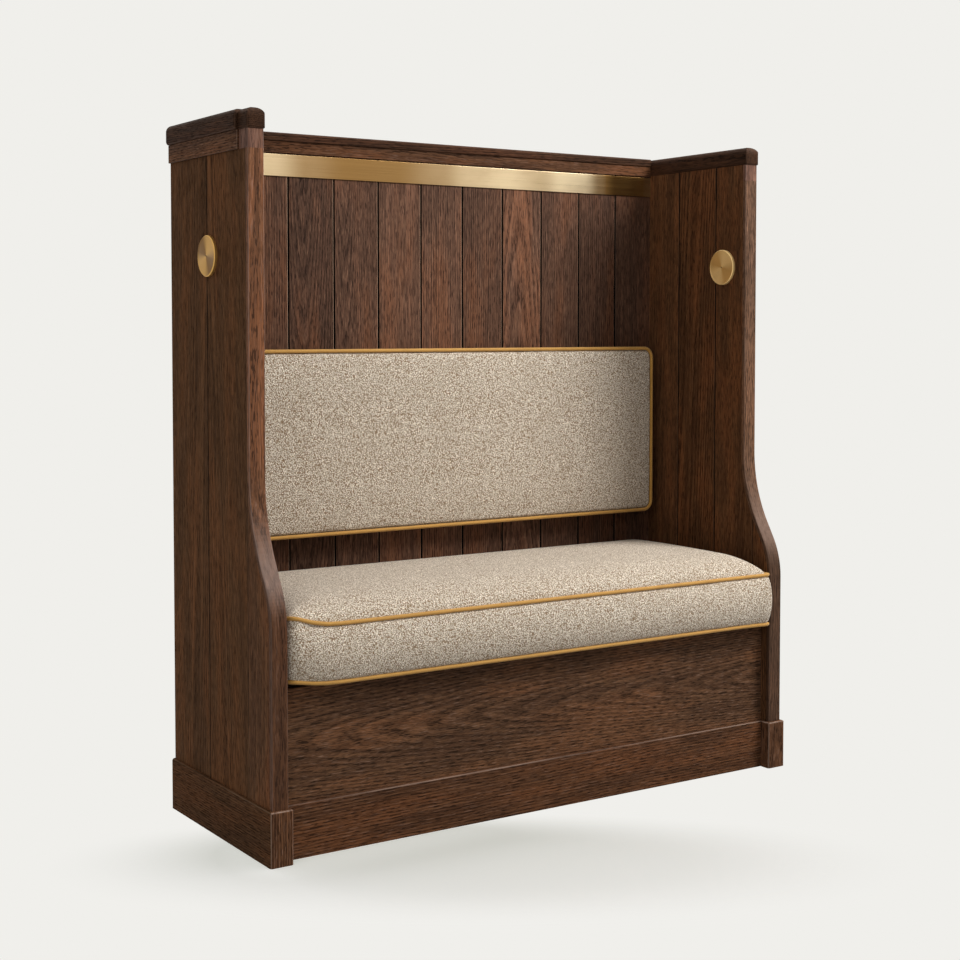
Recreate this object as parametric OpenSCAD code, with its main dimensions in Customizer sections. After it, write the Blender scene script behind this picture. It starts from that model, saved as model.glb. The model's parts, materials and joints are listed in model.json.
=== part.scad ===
// High-back settle: a bench with boarded sides, a tall boarded back and loose upholstery.
// Millimetres. X runs across the seat, the front faces -Y and Z points up.
// The origin lies on the floor, in the middle of the settle's footprint.

/* [Overall] */
// Width over the outer faces of the two sides
body_w = 1270; // [900:5:1700]
// Height to the top of the caps
body_h = 1400; // [1250:5:1600]
// Depth of the sides at the seat, front edge to rear edge
base_d = 450; // [410:5:560]

/* [Sides] */
// Thickness of each side, board face to board face
side_t = 34; // [30:1:50]
// Thickness of the boards that line each face of a side
side_board_t = 10; // [8:0.5:13]
// How far the wing's front edge stands behind the front of the seat
wing_setback = 88; // [60:2:110]
// Height where the front edge starts to curve back
curve_low = 430; // [400:5:450]
// Height where the front edge is upright again
curve_high = 710; // [670:5:800]
// Radius of the hollow upper part of the curve
curve_upper_r = 310; // [220:5:340]
// Length of the straight between the hollow and the round part of the curve
curve_link = 40; // [10:2:60]
// Depth of the solid front edge that follows the curve
edge_depth = 9; // [7:0.5:16]
// Rounding of the arrises of the front edge
edge_round = 3; // [1:0.5:3.4]
// Width of the front stile on the inner face
stile_inner_w = 57; // [48:1:80]
// Number of boards on the outer face of a side
outer_boards = 2; // [2:1:3]
// Number of boards on the inner face of a side
inner_boards = 3; // [2:1:4]

/* [Boards] */
// Number of boards in the back
back_boards = 11; // [8:1:13]
// Thickness of the back boards
back_board_t = 18; // [15:0.5:22]
// Open line left between the faces of two boards
board_reveal = 0.8; // [0.4:0.1:1.5]
// Bevel on the board edges that meet at a joint line
board_bevel = 1.8; // [0.5:0.1:2.4]
// Open line left between the faces of two back boards
back_reveal = 3; // [0.4:0.1:4]
// Bevel on the edges of the back boards
back_bevel = 1.2; // [0.5:0.1:2.4]
// How far a tongue enters the groove of the next board
tongue_in = 5; // [3:0.5:8]

/* [Top of the sides] */
// Height of the cap on each side
cap_h = 40; // [34:1:50]
// Rounding of the cap's upper arrises, as a share of the cap's width
cap_crest = 0.46; // [0.2:0.01:0.48]
// Rounding of the cap's upper front arris
cap_nose_round = 17; // [8:1:22]
// Rounding of the cap's lower arrises
cap_under_round = 4; // [2:0.5:6]
// How far the cap stands in front of the wing
cap_front_over = 3; // [1:0.5:8]
// How far the cap stands over the inner face
cap_inner_over = 2; // [1:0.5:5]
// How far the cap's nosing stands out from the outer boards
nosing_out = 9.5; // [7:0.5:15]
// Rounding of the nosing's upper arrises
nosing_round = 14; // [6:1:15]
// Rounding of the nosing's lower arris
nosing_under_round = 7; // [2:0.5:8]
// Rounding of the upright corner at the nosing's front end
nosing_end_round = 5; // [2:0.5:7]
// Height of the frieze rail and head block under the cap
frieze_h = 36; // [28:1:50]
// How far the frieze stands out from the outer boards
frieze_out = 4.5; // [2:0.5:6.5]
// Depth of the head block, wing front to frieze
head_block_d = 36; // [24:1:60]

/* [Top of the back] */
// Height of the back's cap
back_cap_h = 18; // [12:1:24]
// Rounding of the back cap's front arrises
back_cap_round = 6; // [2:0.5:8]
// How far the back cap stands in front of the top rail
back_cap_over = 3; // [1:0.5:8]
// Height of the top rail
top_rail_h = 24; // [18:1:36]
// How far the rails stand in front of the back boards
rail_out = 4; // [2:0.5:10]
// Depth of the grooves in the rails that hold the board ends
rail_groove = 10; // [6:0.5:14]
// How far the back boards lie in from the rear edges of the sides
back_recess = 3.5; // [2:0.5:10]
// Height of the bottom rail's upper edge
bottom_rail_top = 60; // [40:1:90]
// Gap between the bottom rail and the floor
bottom_rail_lift = 5; // [2:1:12]

/* [Brass] */
// Height of the brass strip
strip_h = 46; // [25:1:70]
// Thickness of the brass strip
strip_t = 3; // [1.5:0.5:5]
// Shadow gap between the brass strip and the top rail
strip_gap = 3; // [1:0.5:8]
// Diameter of the brass discs
disc_d = 80.5; // [50:0.5:100]
// Thickness of the brass discs at the rim
disc_t = 6.5; // [3.5:0.5:8]
// Distance of the disc centres below the tops of the caps
disc_drop = 270; // [120:2:380]
// Distance of the outer discs behind the wing's front edge
outer_disc_back = 177; // [100:1:250]
// Distance of the inner discs behind the wing's front edge
inner_disc_back = 75; // [60:1:140]
// Diameter of the shank behind each disc
shank_d = 8; // [5:0.5:12]
// Length of the shank behind each disc
shank_l = 8; // [4:0.5:9]

/* [Plinth] */
// Height of the plinth
plinth_h = 104; // [80:1:140]
// How far the plinth stands out from the sides
plinth_out = 7; // [5:0.5:12]
// Rounding of the plinth's upper arrises
plinth_round = 5; // [1:0.5:5]
// Distance of the front skirting behind the front of the sides
skirting_back = 19; // [10:1:30]
// Thickness of the front skirting
skirting_t = 8; // [6:0.5:14]

/* [Seat box] */
// Height of the seat board's upper face
seat_h = 320; // [290:2:370]
// Thickness of the seat board
seat_board_t = 18; // [15:0.5:24]
// Thickness of the front panel
front_panel_t = 18; // [15:0.5:24]
// Thickness of the cleats under the seat board
cleat_t = 20; // [15:1:30]
// Height of the cleats under the seat board
cleat_h = 40; // [30:1:60]
// Thickness of the bearer under the middle of the seat board
bearer_t = 22; // [18:1:40]
// Height of the bearer under the middle of the seat board
bearer_h = 70; // [50:1:110]

/* [Upholstery] */
// Diameter of the piping
piping_d = 8; // [5:0.5:10]
// Height of the seat cushion between its two rows of piping
cushion_boxing = 113; // [80:1:150]
// Rise of the seat cushion's top in the middle
cushion_crown = 41; // [5:1:60]
// Swell of the seat cushion's sides between the rows of piping
cushion_swell = 5; // [2:0.5:6]
// Corner radius of the seat cushion in plan
cushion_corner = 22; // [20:1:80]
// Clearance between the seat cushion and the sides and back
cushion_gap = 2.5; // [1:0.5:6]
// How far the seat cushion stands in front of the sides
cushion_out = 6.5; // [0:0.5:6.5]
// Gap between each end of the back pad and the side next to it
pad_side_gap = 30; // [5:1:120]
// Height of the back pad
pad_h = 394; // [300:2:460]
// Height of the back pad's lower edge above the floor
pad_z = 550; // [500:2:620]
// Thickness of the board behind the back pad
pad_board_t = 9; // [6:0.5:15]
// Depth of the back pad between its board and its piping
pad_boxing = 38; // [28:1:60]
// Rise of the back pad's face in the middle
pad_crown = 9; // [4:0.5:20]
// Swell of the back pad's sides
pad_swell = 2.5; // [1:0.5:5]
// Corner radius of the back pad
pad_corner = 24; // [18:1:60]
// How far the pad's board lies in from the pad's edge
pad_board_inset = 12; // [6:1:30]

/* [Hidden] */
$fn = 64;
// Clearance round tongues, board ends and shanks
fit = 0.25;
// Glue line between the solid front edge and the stuff behind it
glue_line = 0.15;
// Clearance round everything soft
soft_fit = 0.3;
// Overshoot of a cutting shape past the face that it cuts
past = 1;
SIDES = ["left", "right"];
SIDE_PARTS = ["front_edge", "stile", "head_block", "core_panel", "frieze", "cap", "plinth_board",
    "plinth_block", "outer_disc", "inner_disc", "seat_cleat"];

front_y = -(base_d - plinth_out) / 2;
inner_w = body_w - 2 * side_t;
side_top = body_h - cap_h;
frieze_z = side_top - frieze_h;
back_face = base_d - back_recess - back_board_t;
disc_z = body_h - disc_drop;

// The front edge: a round and a hollow arc, both tangent to a straight link between them
curve_rise = curve_high - curve_low;
curve_turn = 2 * atan(wing_setback / (curve_rise + curve_link));
curve_lower_r = (curve_rise - curve_link * cos(curve_turn)) / sin(curve_turn) - curve_upper_r;
link_low = [curve_lower_r * (1 - cos(curve_turn)), curve_low + curve_lower_r * sin(curve_turn)];
link_high = link_low + curve_link * [sin(curve_turn), cos(curve_turn)];
curve_normal = [cos(curve_turn), -sin(curve_turn)];
edge_back = edge_depth + glue_line;
stile_outer_w = wing_setback + edge_back;
// The stile's outer layer runs out to this width where it is cut off square
stile_tip = 0.5;
stile_tip_turn = acos(1 - stile_tip / (curve_upper_r + edge_back));
stile_top = curve_high - (curve_upper_r + edge_back) * sin(stile_tip_turn);

rail_face = back_face - rail_out;
top_rail_z = body_h - back_cap_h - top_rail_h;
board_top = top_rail_z + rail_groove - fit;
board_bottom = bottom_rail_top - rail_groove + fit;
board_pitch = inner_w / back_boards;

panel_face = skirting_back + skirting_t;
panel_rear = panel_face + front_panel_t;
seat_under = seat_h - seat_board_t;

piping_r = piping_d / 2;
seam_r = (piping_r + soft_fit) / cos(22.5);
cushion_w = inner_w - 2 * cushion_gap;
cushion_front = -cushion_out;
cushion_d = back_face - cushion_gap - cushion_front;
cushion_base = seat_h + soft_fit;
pad_w = inner_w - 2 * pad_side_gap;
pad_rear = back_face - pad_board_t - soft_fit;

// Puts a side's own frame in place: x from its outer face inwards, y from its front edge back
module on_side(side) {
    if (side == "left") translate([-body_w / 2, front_y, 0]) children();
    else mirror([1, 0, 0]) translate([-body_w / 2, front_y, 0]) children();
}

// Puts a frame with x from the middle and y from the front edge of the sides in place
module on_middle() {
    translate([0, front_y, 0]) children();
}

// The waste outside a corner of radius r, with the corner at the origin and the stuff at +x +y
module corner_waste(r) {
    difference() {
        translate([-past, -past]) square(r + past);
        translate([r, r]) circle(r);
    }
}

// A rectangle with its own radius on each corner: lower left, lower right, upper right, upper left
module eased_rect(w, h, radii) {
    difference() {
        square([w, h]);
        if (radii[0] > 0) corner_waste(radii[0]);
        if (radii[1] > 0) translate([w, 0]) mirror([1, 0]) corner_waste(radii[1]);
        if (radii[2] > 0) translate([w, h]) mirror([1, 0]) mirror([0, 1]) corner_waste(radii[2]);
        if (radii[3] > 0) translate([0, h]) mirror([0, 1]) corner_waste(radii[3]);
    }
}

// Extrudes a drawing of x and z along y
module along_y(length) {
    translate([0, length, 0]) rotate([90, 0, 0]) linear_extrude(length) children();
}

// Extrudes a drawing of y and z along x
module along_x(length) {
    rotate([90, 0, 90]) linear_extrude(length) children();
}

// A closed form skinned over rings of points, each anticlockwise seen from beyond the last one
module skinned(rings) {
    n = len(rings[0]);
    last = (len(rings) - 1) * n;
    skin = [for (k = [0 : len(rings) - 2]) for (j = [0 : n - 1]) let (i = (j + 1) % n)
        each [[k * n + j, (k + 1) * n + j, k * n + i], [k * n + i, (k + 1) * n + j, (k + 1) * n + i]]];
    base = [for (j = [1 : n - 2]) [0, j, j + 1]];
    top = [for (j = [1 : n - 2]) [last, last + j + 1, last + j]];
    polyhedron([for (ring = rings) each ring], concat(skin, base, top));
}

// A block whose three views are eased rectangles, so that its rounded arrises meet in mitres
module eased_block(size, plan, front, side) {
    intersection() {
        linear_extrude(size[2]) eased_rect(size[0], size[1], plan);
        along_y(size[1]) eased_rect(size[0], size[2], front);
        along_x(size[0]) eased_rect(size[1], size[2], side);
    }
}

// Plan of a board: a along its width, b from its face to its back
function board_points(w, t, reveal, bevel_a, bevel_b, grooved, tongued) = let (
    tongue = [t / 3, 2 * t / 3],
    reach = reveal + tongue_in
) concat(
    bevel_a > 0 ? [[bevel_a, 0], [0, bevel_a]] : [[0, 0]],
    grooved ? [
        [0, tongue[0] - fit], [tongue_in + fit, tongue[0] - fit],
        [tongue_in + fit, tongue[1] + fit], [0, tongue[1] + fit]
    ] : [],
    [[0, t], [w, t]],
    tongued ? [[w, tongue[1]], [w + reach, tongue[1]], [w + reach, tongue[0]], [w, tongue[0]]] : [],
    bevel_b > 0 ? [[w, bevel_b], [w - bevel_b, 0]] : [[w, 0]]
);

// Outline of a side, y and z, with its front edge moved in by some depth
module side_outline(inset, top) {
    low = link_low + inset * curve_normal;
    high = link_high + inset * curve_normal;
    front = inset - past;
    difference() {
        translate([inset, 0]) square([base_d - inset, top]);
        translate([front, curve_high]) square([wing_setback + past, top]);
        intersection() {
            translate([front, high[1]]) square([wing_setback + 2 * past, curve_high - high[1]]);
            translate([wing_setback - curve_upper_r, curve_high]) circle(curve_upper_r + inset, $fn = 180);
        }
        polygon([[front, low[1]], low, high, [front, high[1]]]);
        difference() {
            translate([front, curve_low]) square([curve_lower_r - front, low[1] - curve_low]);
            translate([curve_lower_r, curve_low]) circle(curve_lower_r - inset, $fn = 180);
        }
    }
}

// Section of the solid front edge, x across the side and y from its face back
module edge_section() {
    eased_rect(side_t, edge_depth, [edge_round, edge_round, 0, 0]);
}

// The same section as points, from its rear left corner round the front to the rear right
function edge_points(steps) = concat(
    [[0, edge_depth]],
    [for (k = [0 : steps]) let (a = 90 * k / steps) edge_round * [1 - cos(a), 1 - sin(a)]],
    [for (k = [0 : steps]) let (a = 90 * k / steps)
        [side_t - edge_round * (1 - sin(a)), edge_round * (1 - cos(a))]],
    [[side_t, edge_depth]]
);

// Stations up the face of the front edge: y, z and the lean of the face, through both arcs
function edge_path(steps) = concat(
    [[0, 0, 0]],
    [for (k = [0 : steps]) let (a = curve_turn * k / steps)
        [curve_lower_r * (1 - cos(a)), curve_low + curve_lower_r * sin(a), a]],
    [for (k = [0 : steps]) let (a = curve_turn * (1 - k / steps))
        [wing_setback - curve_upper_r * (1 - cos(a)), curve_high - curve_upper_r * sin(a), a]],
    [[wing_setback, frieze_z, 0]]
);

// Solid front edge: the rounded section carried square to the face up the whole double curve
module front_edge() {
    section = edge_points(4);
    color("#66452f") skinned([for (s = edge_path(14))
        [for (q = section) [q[0], s[0] + q[1] * cos(s[2]), s[1] - q[1] * sin(s[2])]]]);
}

// Outline of the stuff behind the front edge, y and z, up to some depth and height
module stile_outline(depth, top) {
    intersection() {
        side_outline(edge_back, curve_high);
        square([depth, top]);
    }
}

// Front stile behind the solid edge: sawn to the curve and rebated for the inner boards
module stile() {
    color("#5a3c2a") {
        along_x(side_board_t) stile_outline(stile_outer_w, stile_top);
        along_x(side_t) stile_outline(stile_inner_w, curve_high);
    }
}

// Head block above the stile, in front of the frieze
module head_block() {
    color("#4f3526") translate([0, wing_setback, frieze_z]) linear_extrude(frieze_h) {
        edge_section();
        translate([0, edge_depth / 2]) square([side_board_t, head_block_d - edge_depth / 2]);
    }
}

// Core of a side, between its two layers of boards, cut to the curve behind the solid edge
module core_panel() {
    color("#6b4a33") translate([side_board_t, 0, 0]) along_x(side_t - 2 * side_board_t) difference() {
        side_outline(edge_back, side_top);
        square([stile_inner_w, curve_high]);
    }
}

// Hole for a disc's shank, from the face at x = 0 inwards
module shank_hole(y) {
    translate([0, y, disc_z]) rotate([0, 90, 0])
        cylinder(d = shank_d + 2 * fit, h = 2 * (shank_l + fit), center = true);
}

// Upright boards of the outer face, from the stile to the rear edge
module outer_board(i) {
    pitch = (base_d - stile_outer_w) / outer_boards;
    start = stile_outer_w + (i - 1) * pitch + board_reveal;
    last = i == outer_boards;
    points = board_points(pitch - board_reveal, side_board_t, board_reveal, board_bevel,
        last ? 0 : board_bevel, i > 1, !last);
    color(i % 2 == 0 ? "#46301f" : "#4b3424") difference() {
        translate([0, start, 0]) linear_extrude(frieze_z) polygon([for (p = points) [p[1], p[0]]]);
        shank_hole(wing_setback + outer_disc_back);
    }
}

// Upright boards of the inner face, the front ones cut to the curve
module inner_board(i) {
    pitch = (base_d - stile_inner_w) / inner_boards;
    start = stile_inner_w + (i - 1) * pitch + board_reveal;
    last = i == inner_boards;
    points = board_points(pitch - board_reveal, side_board_t, board_reveal, board_bevel,
        last ? 0 : board_bevel, i > 1, !last);
    color(i % 2 == 0 ? "#503524" : "#593c29") difference() {
        intersection() {
            translate([side_t, start, 0]) linear_extrude(side_top)
                polygon([for (p = points) [-p[1], p[0]]]);
            along_x(side_t + past) side_outline(edge_back, side_top);
        }
        translate([side_t, 0, 0]) shank_hole(wing_setback + inner_disc_back);
    }
}

// Frieze rail under the cap, on the outer face
module frieze() {
    front = wing_setback + head_block_d;
    color("#452f20") translate([-frieze_out, front, frieze_z])
        eased_block([frieze_out + side_board_t, base_d - front, frieze_h],
            [1.5, 0, 0, 0], [1.5, 0, 0, 1.5], [0, 0, 0, 0]);
}

// Cap of a side: a rounded bar with a nosing along its outer edge, returned behind the front
module cap() {
    front = wing_setback - cap_front_over;
    nosing_front = wing_setback + head_block_d;
    width = side_t + 2 * cap_inner_over;
    crest = cap_crest * width;
    color("#4a3223") translate([0, 0, side_top]) {
        translate([-cap_inner_over, front, 0])
            eased_block([width, base_d - front, cap_h],
                [cap_under_round, cap_under_round, 0, 0],
                [cap_under_round, cap_under_round, crest, crest],
                [cap_under_round, 0, 0, cap_nose_round]);
        translate([-nosing_out, nosing_front, 0])
            eased_block([nosing_out + side_t / 2, base_d - nosing_front, cap_h],
                [nosing_end_round, 0, 0, 0], [nosing_under_round, 0, 0, nosing_round],
                [0, 0, 0, nosing_round]);
    }
}

// Space of the whole plinth of one side, with its rounded arrises
module plinth_form() {
    translate([-plinth_out, -plinth_out, 0])
        eased_block([side_t + 2 * plinth_out, base_d + plinth_out, plinth_h],
            [plinth_round, plinth_round, 0, 0], [0, 0, plinth_round, plinth_round],
            [0, 0, 0, plinth_round]);
}

// Plinth board along the outer face, mitred at the front
module plinth_board() {
    reach = plinth_out + past;
    color("#3f2b1f") intersection() {
        plinth_form();
        linear_extrude(plinth_h) polygon([[-reach, -reach], [0, 0], [0, base_d], [-reach, base_d]]);
    }
}

// Plinth block round the front of the stile, returned to the skirting on the inner face
module plinth_block() {
    reach = plinth_out + past;
    color("#4b3325") difference() {
        intersection() {
            plinth_form();
            linear_extrude(plinth_h) polygon([[-reach, -reach], [side_t + reach, -reach],
                [side_t + reach, panel_face], [side_t, panel_face], [side_t, 0], [0, 0]]);
        }
        translate([0, 0, -past]) linear_extrude(plinth_h + 2 * past) square([side_t, edge_depth]);
    }
}

// Turned brass disc with a raised rim, a dished face and a centre mark, on a short shank
module disc() {
    rim = 1.8;
    dish = 0.9;
    dot = 1.5;
    r = disc_d / 2;
    color("#b8935a") rotate([0, -90, 0]) rotate_extrude($fn = 96) polygon([
        [0, -shank_l], [shank_d / 2, -shank_l], [shank_d / 2, 0], [r, 0], [r, disc_t - rim],
        [r - rim, disc_t], [r - 2 * rim, disc_t], [r - 2 * rim - 1, disc_t - dish / 2],
        [dot, disc_t - dish], [dot, disc_t - 2 * dish], [0, disc_t - 2 * dish]
    ]);
}

module outer_disc() {
    translate([0, wing_setback + outer_disc_back, disc_z]) disc();
}

module inner_disc() {
    translate([side_t, wing_setback + inner_disc_back, disc_z]) mirror([1, 0, 0]) disc();
}

// Cleat on a side, under the end of the seat board
module seat_cleat() {
    color("#a98a5f") translate([side_t, panel_rear, seat_under - cleat_h])
        cube([cleat_t, back_face - panel_rear, cleat_h]);
}

// Notch in the top of an end board, round the overhang of the cap beside it
module cap_notch(x) {
    reach = cap_inner_over + fit;
    translate([x - reach, back_face - past, side_top - fit])
        cube([2 * reach, back_board_t + 2 * past, cap_h]);
}

// Upright boards of the back, tongued into each other and into the rails
module back_board(i) {
    last = i == back_boards;
    first = i == 1;
    start = -inner_w / 2 + (i - 1) * board_pitch + (first ? 0 : back_reveal);
    width = board_pitch - (first ? 0 : back_reveal);
    color(i % 2 == 0 ? "#4e3626" : "#5c4030") difference() {
        translate([start, back_face, board_bottom]) linear_extrude(board_top - board_bottom)
            polygon(board_points(width, back_board_t, back_reveal, first ? 0 : back_bevel,
                last ? 0 : back_bevel, !first, !last));
        if (first) cap_notch(-inner_w / 2);
        if (last) cap_notch(inner_w / 2);
    }
}

// Section of a rail of the back, y and z, with the groove for the boards cut from one edge
module grooved_rail(h, groove_z) {
    difference() {
        translate([rail_face, 0]) square([base_d - rail_face, h]);
        translate([back_face - fit, groove_z]) square([back_board_t + 2 * fit, rail_groove + past]);
    }
}

module top_rail() {
    length = inner_w - 2 * cap_inner_over;
    color("#553a29") translate([-length / 2, 0, top_rail_z]) along_x(length)
        grooved_rail(top_rail_h, -past);
}

module bottom_rail() {
    h = bottom_rail_top - bottom_rail_lift;
    color("#553a29") translate([-inner_w / 2, 0, bottom_rail_lift]) along_x(inner_w)
        grooved_rail(h, h - rail_groove);
}

// Cap over the top rail, between the caps of the sides
module back_cap() {
    length = inner_w - 2 * cap_inner_over;
    face = rail_face - back_cap_over;
    color("#5e4130") translate([-length / 2, face, body_h - back_cap_h]) along_x(length)
        eased_rect(base_d - face, back_cap_h, [2, 0, 0, back_cap_round]);
}

// Brass strip across the back, under the top rail
module brass_strip() {
    color("#c29d62") translate([-inner_w / 2, back_face - strip_t, top_rail_z - strip_gap - strip_h])
        along_x(inner_w) eased_rect(strip_t, strip_h, [0.6, 0, 0, 0.6]);
}

// Front panel of the seat box
module front_panel() {
    color("#4a3122") translate([-inner_w / 2, panel_face, 0]) cube([inner_w, front_panel_t, seat_h]);
}

// Skirting along the foot of the front panel, between the plinth blocks
module front_skirting() {
    length = inner_w - 2 * plinth_out;
    color("#452e20") translate([-length / 2, skirting_back, 0]) along_x(length)
        eased_rect(skirting_t, plinth_h, [0, 0, 0, plinth_round]);
}

// Seat board, dropped in behind the front panel onto the cleats
module seat_board() {
    color("#b39468") translate([-inner_w / 2 + fit, panel_rear + fit, seat_under])
        cube([inner_w - 2 * fit, back_face - panel_rear - 2 * fit, seat_board_t]);
}

module front_cleat() {
    length = inner_w - 2 * cleat_t;
    color("#a98a5f") translate([-length / 2, panel_rear, seat_under - cleat_h])
        cube([length, cleat_t, cleat_h]);
}

module rear_cleat() {
    length = inner_w - 2 * cleat_t;
    color("#a98a5f") translate([-length / 2, back_face - cleat_t, seat_under - cleat_h])
        cube([length, cleat_t, cleat_h]);
}

// Bearer under the middle of the seat board, from cleat to cleat
module centre_bearer() {
    color("#a98a5f") translate([-bearer_t / 2, panel_rear + cleat_t, seat_under - bearer_h])
        cube([bearer_t, back_face - panel_rear - 2 * cleat_t, bearer_h]);
}

// Points of a rectangle with round corners, anticlockwise
function ring_points(w, d, r) = let (steps = 8) [
    for (k = [0 : 3]) for (j = [0 : steps]) let (
        a = 90 * (k + j / steps),
        cx = (k == 0 || k == 3 ? 1 : -1) * (w / 2 - r),
        cy = (k < 2 ? 1 : -1) * (d / 2 - r)
    ) [cx + r * cos(a), cy + r * sin(a)]
];

// Profile of the notch that a row of piping lies in, as inset and height
function seam(inset, z) = [for (a = [-90 : 45 : 90]) [inset + seam_r * cos(a), z + seam_r * sin(a)]];

// Profile of a swelling side between two heights
function swell(inset, z0, z1, depth) = [
    for (k = [1 : 4]) let (t = k / 5) [inset - depth * sin(180 * t), z0 + (z1 - z0) * t]
];

// Profile of the rising top, from its edge to the level middle
function crown(inset, z, rise, reach) = [
    for (k = [1 : 5]) let (t = k / 5) [inset + reach * t * t, z + rise * sin(90 * sqrt(t) * t)]
];

// A stuffed form: a round-cornered rectangle carried up a profile of insets and heights
module stuffed(w, d, r, profile) {
    skinned([for (p = profile)
        [for (q = ring_points(w - 2 * p[0], d - 2 * p[0], max(r - p[0], 6))) [q[0], q[1], p[1]]]]);
}

// A closed row of piping round a rectangle with round corners
module piping(w, d, r) {
    for (s = [-1, 1]) {
        translate([s * w / 2, 0, 0]) rotate([90, 0, 0])
            cylinder(r = piping_r, h = d - 2 * r, center = true);
        translate([0, s * d / 2, 0]) rotate([0, 90, 0])
            cylinder(r = piping_r, h = w - 2 * r, center = true);
    }
    for (k = [0 : 3]) {
        cx = (k == 0 || k == 3 ? 1 : -1) * (w / 2 - r);
        cy = (k < 2 ? 1 : -1) * (d / 2 - r);
        translate([cx, cy, 0]) rotate([0, 0, 90 * k]) rotate_extrude(angle = 90)
            translate([r, 0]) circle(piping_r);
    }
}

// Loose seat cushion: boxed, crowned and drawn in at its two seams
module seat_cushion() {
    low = seam_r;
    high = low + cushion_boxing;
    color("#c4b49c") on_middle() translate([0, cushion_front + cushion_d / 2, cushion_base])
        stuffed(cushion_w, cushion_d, cushion_corner, concat(
            seam(cushion_swell, low),
            swell(cushion_swell, low + seam_r, high - seam_r, cushion_swell),
            seam(cushion_swell, high),
            crown(cushion_swell, high + seam_r, cushion_crown, 110)
        ));
}

// One row of the seat cushion's piping, at a height above the cushion's underside
module seat_piping(z) {
    in = cushion_swell;
    color("#b8912f") on_middle() translate([0, cushion_front + cushion_d / 2, cushion_base + z])
        piping(cushion_w - 2 * in, cushion_d - 2 * in, cushion_corner - in);
}

// Puts a pad's frame in place: drawn flat, then stood up with its back to the boards
module on_pad() {
    on_middle() translate([0, pad_rear, pad_z + pad_h / 2]) rotate([90, 0, 0]) children();
}

// Back pad: boxed, with its front edge drawn in at the seam
module back_pad() {
    color("#c4b49c") on_pad() stuffed(pad_w, pad_h, pad_corner, concat(
        [[pad_swell + 4, 0], [pad_swell + 1, 3]],
        swell(pad_swell, 3, pad_boxing - seam_r, pad_swell),
        seam(pad_swell, pad_boxing),
        crown(pad_swell, pad_boxing + seam_r, pad_crown, 90)
    ));
}

module back_pad_piping() {
    color("#b8912f") on_pad() translate([0, 0, pad_boxing])
        piping(pad_w - 2 * pad_swell, pad_h - 2 * pad_swell, pad_corner - pad_swell);
}

// Board that the back pad is upholstered on, flat against the back boards
module back_pad_board() {
    in = pad_board_inset;
    r = pad_corner - pad_swell;
    color("#b39468") on_middle() translate([-pad_w / 2 + in, back_face, pad_z + in]) rotate([90, 0, 0])
        linear_extrude(pad_board_t) eased_rect(pad_w - 2 * in, pad_h - 2 * in, [r, r, r, r]);
}

for (s = SIDES) {
    on_side(s) front_edge();
    on_side(s) stile();
    on_side(s) head_block();
    on_side(s) core_panel();
    on_side(s) frieze();
    on_side(s) cap();
    on_side(s) plinth_board();
    on_side(s) plinth_block();
    on_side(s) outer_disc();
    on_side(s) inner_disc();
    on_side(s) seat_cleat();
    for (i = [1 : outer_boards]) {
        on_side(s) outer_board(i);
    }
    for (i = [1 : inner_boards]) {
        on_side(s) inner_board(i);
    }
}
for (i = [1 : back_boards]) {
    on_middle() back_board(i);
}
on_middle() top_rail();
on_middle() back_cap();
on_middle() bottom_rail();
on_middle() brass_strip();
on_middle() front_panel();
on_middle() front_skirting();
on_middle() seat_board();
on_middle() front_cleat();
on_middle() rear_cleat();
on_middle() centre_bearer();
seat_cushion();
seat_piping(seam_r + cushion_boxing);  // seat_piping_top
seat_piping(seam_r);  // seat_piping_bottom
back_pad();
back_pad_board();
back_pad_piping();
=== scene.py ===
"""Looks of a high-back settle: oiled dark oak, brushed brass and piped looped-wool upholstery."""

import json
import logging
import math
import random
from dataclasses import dataclass, field
from enum import Enum
from typing import Callable, Optional, Sequence, Union

import bmesh
import bpy
import numpy as np
from mathutils import Euler, Matrix, Vector, noise


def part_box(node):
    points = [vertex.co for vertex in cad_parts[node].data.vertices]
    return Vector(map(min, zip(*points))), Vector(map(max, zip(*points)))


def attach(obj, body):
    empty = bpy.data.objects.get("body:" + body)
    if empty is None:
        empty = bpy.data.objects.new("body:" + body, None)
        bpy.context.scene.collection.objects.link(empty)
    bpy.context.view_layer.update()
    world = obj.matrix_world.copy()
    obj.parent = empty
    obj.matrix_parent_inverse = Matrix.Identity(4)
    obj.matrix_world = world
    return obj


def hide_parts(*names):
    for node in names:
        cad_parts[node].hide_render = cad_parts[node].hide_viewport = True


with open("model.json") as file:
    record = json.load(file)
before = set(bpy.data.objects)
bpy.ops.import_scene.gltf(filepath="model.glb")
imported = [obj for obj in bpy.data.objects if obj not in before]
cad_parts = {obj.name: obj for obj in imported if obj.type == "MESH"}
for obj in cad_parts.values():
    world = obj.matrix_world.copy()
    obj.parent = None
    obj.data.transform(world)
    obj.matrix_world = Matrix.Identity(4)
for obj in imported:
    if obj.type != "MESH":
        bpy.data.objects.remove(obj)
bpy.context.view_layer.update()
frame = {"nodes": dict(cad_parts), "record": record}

LOG = logging.getLogger("settle")
MM = 0.001

Node = bpy.types.Node
Piece = bpy.types.Object
Socket = bpy.types.NodeSocket
Feed = Union[float, Sequence[float], Socket]
Feeds = dict[Union[int, str], Feed]
Place = tuple[float, float, float]
Paint = tuple[int, int, int]
Tone = tuple[float, float, float, float]
BLACK: Tone = (0.0, 0.0, 0.0, 1.0)


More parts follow.
